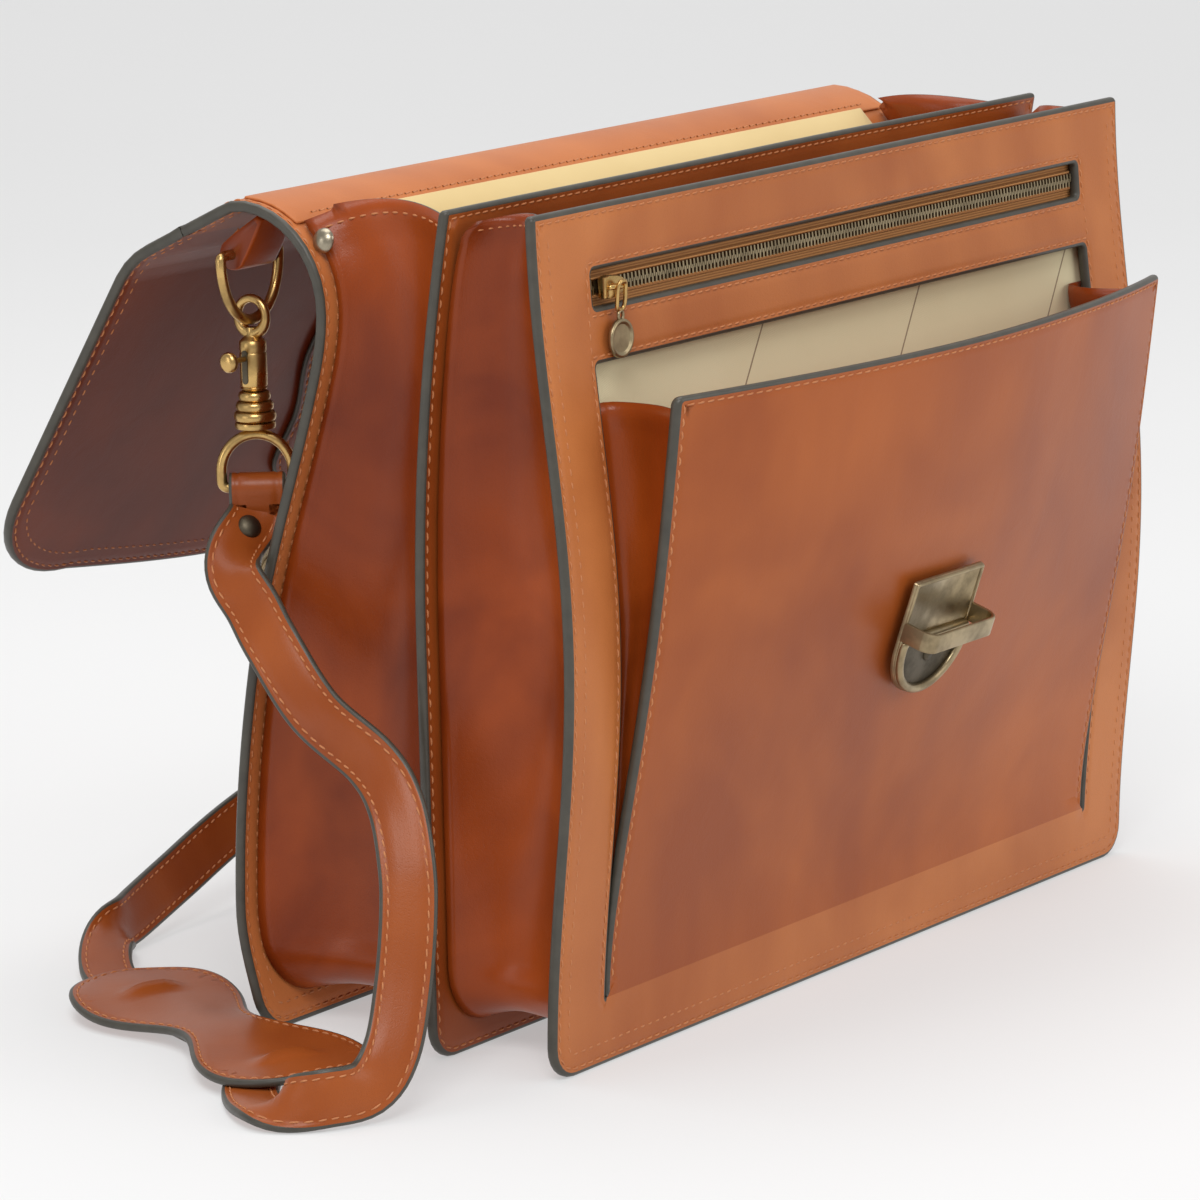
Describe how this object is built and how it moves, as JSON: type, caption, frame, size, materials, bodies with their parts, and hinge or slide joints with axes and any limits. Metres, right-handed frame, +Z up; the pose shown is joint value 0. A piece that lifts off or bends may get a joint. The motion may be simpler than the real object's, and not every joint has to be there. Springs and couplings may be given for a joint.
{
  "type": "leather briefcase",
  "caption": "Gusseted leather briefcase with its flap open behind it, a zip pocket, an open front pocket with a metal tongue lock, and a shoulder strap with a pad.",
  "frame": {"origin": "middle of the foot of the divider, on the floor", "axes": "+Z up, +X along the width of the case to its right as seen from the front, the front towards -Y"},
  "size_m": [0.4854, 0.3303, 0.3009],
  "materials": {
    "leather": "smooth waxed cognac hide, painted edges",
    "soft_leather": "soft cognac hide",
    "lining": "woven cream cotton",
    "zip_tape": "woven tan tape",
    "antique_brass": "antiqued, worn bright on the edges",
    "rivet_metal": "domed, satin"
  },
  "bodies": {
    "back": {"back_panel": "leather", "back_lining": "lining", "back_facing": "soft_leather", "back_gusset": "soft_leather", "gusset_rivet_left": "rivet_metal", "gusset_rivet_right": "rivet_metal", "chape_left": "soft_leather", "chape_right": "soft_leather", "strap_front_run": "leather", "strap_rear_run": "leather", "strap_rivet_left": "antique_brass", "strap_rivet_right": "antique_brass", "shoulder_pad": "leather"},
    "divider": {"divider_panel": "leather", "divider_lining_front": "lining", "divider_lining_back": "lining"},
    "front": {"front_panel": "leather", "front_gusset": "soft_leather", "pocket_lining": "lining", "front_lining": "lining", "zip_tape_upper": "zip_tape", "zip_tape_lower": "zip_tape", "zip_chain": "antique_brass", "pocket_gusset_left": "soft_leather", "pocket_gusset_right": "soft_leather"},
    "pocket": {"pocket_front": "leather", "lock_plate": "antique_brass", "lock_frame": "antique_brass", "lock_keeper": "antique_brass"},
    "slider": {"zip_slider": "antique_brass"},
    "pull": {"zip_pull_link": "antique_brass", "zip_medallion": "antique_brass"},
    "flap_upper": {"flap_top": "leather", "handle_mount_left": "antique_brass", "handle_mount_right": "antique_brass"},
    "flap_lower": {"flap_drop": "leather", "flap_tab": "soft_leather", "hasp_plate": "antique_brass", "hasp_backing": "antique_brass", "hasp_rivet_left": "antique_brass", "hasp_rivet_right": "antique_brass"},
    "handle": {"handle_grip": "leather", "handle_ring_left": "antique_brass", "handle_ring_right": "antique_brass"},
    "hook_left": {"d_ring_left": "antique_brass", "snap_hook_left": "antique_brass", "hook_swivel_left": "antique_brass", "strap_ring_left": "antique_brass"},
    "hook_right": {"d_ring_right": "antique_brass", "snap_hook_right": "antique_brass", "hook_swivel_right": "antique_brass", "strap_ring_right": "antique_brass"},
    "trigger_left": {"hook_trigger_left": "antique_brass"},
    "trigger_right": {"hook_trigger_right": "antique_brass"}
  },
  "joints": [
    {"name": "front_close", "type": "hinge", "parent": "back", "child": "front", "pos_m": [0, -0.0513, 0.002], "axis": [-1, 0, 0], "range_deg": [0, 14], "deforming": ["front_gusset"]},
    {"name": "divider_close", "type": "hinge", "parent": "back", "child": "divider", "pos_m": [0, 0, 0.002], "axis": [-1, 0, 0], "range_deg": [0, 8.7], "deforming": ["back_gusset"]},
    {"name": "pocket_close", "type": "hinge", "parent": "front", "child": "pocket", "pos_m": [0, -0.05198, 0.024], "axis": [-1, 0, 0], "range_deg": [0, 6.5], "deforming": ["pocket_gusset_left", "pocket_gusset_right"]},
    {"name": "zip_slide", "type": "slide", "parent": "front", "child": "slider", "axis": [1, 0, 0], "range_m": [0, 0.296]},
    {"name": "zip_pull_swing", "type": "hinge", "parent": "slider", "child": "pull", "pos_m": [-0.15, -0.057, 0.2728], "axis": [1, 0, 0], "range_deg": [-80, 0]},
    {"name": "flap_swing", "type": "hinge", "parent": "back", "child": "flap_upper", "pos_m": [0, 0.07582, 0.30149], "axis": [1, 0, 0], "range_deg": [0, 205]},
    {"name": "flap_fold", "type": "hinge", "parent": "flap_upper", "child": "flap_lower", "pos_m": [0, 0.12335, 0.27326], "axis": [1, 0, 0], "range_deg": [0, 82]},
    {"name": "handle_swing", "type": "hinge", "parent": "flap_upper", "child": "handle", "pos_m": [0, 0.09306, 0.27337], "axis": [1, 0, 0], "range_deg": [-35, 45]},
    {"name": "hook_swing_left", "type": "hinge", "parent": "back", "child": "hook_left", "pos_m": [-0.177, 0.081, 0.2785], "axis": [1, 0, 0], "range_deg": [-3, 12], "deforming": ["strap_front_run"]},
    {"name": "trigger_slide_left", "type": "slide", "parent": "hook_left", "child": "trigger_left", "axis": [0, 0, -1], "range_m": [0, 0.004], "stiffness_N_per_m": 120, "springref_m": -0.004},
    {"name": "hook_swing_right", "type": "hinge", "parent": "back", "child": "hook_right", "pos_m": [0.177, 0.081, 0.2785], "axis": [1, 0, 0], "range_deg": [-3, 12], "deforming": ["strap_rear_run"]},
    {"name": "trigger_slide_right", "type": "slide", "parent": "hook_right", "child": "trigger_right", "axis": [0, 0, -1], "range_m": [0, 0.004], "stiffness_N_per_m": 120, "springref_m": -0.004}
  ],
  "couplings": [
    {"joint": "divider_close", "follows": "front_close", "ratio": 0.62}
  ]
}
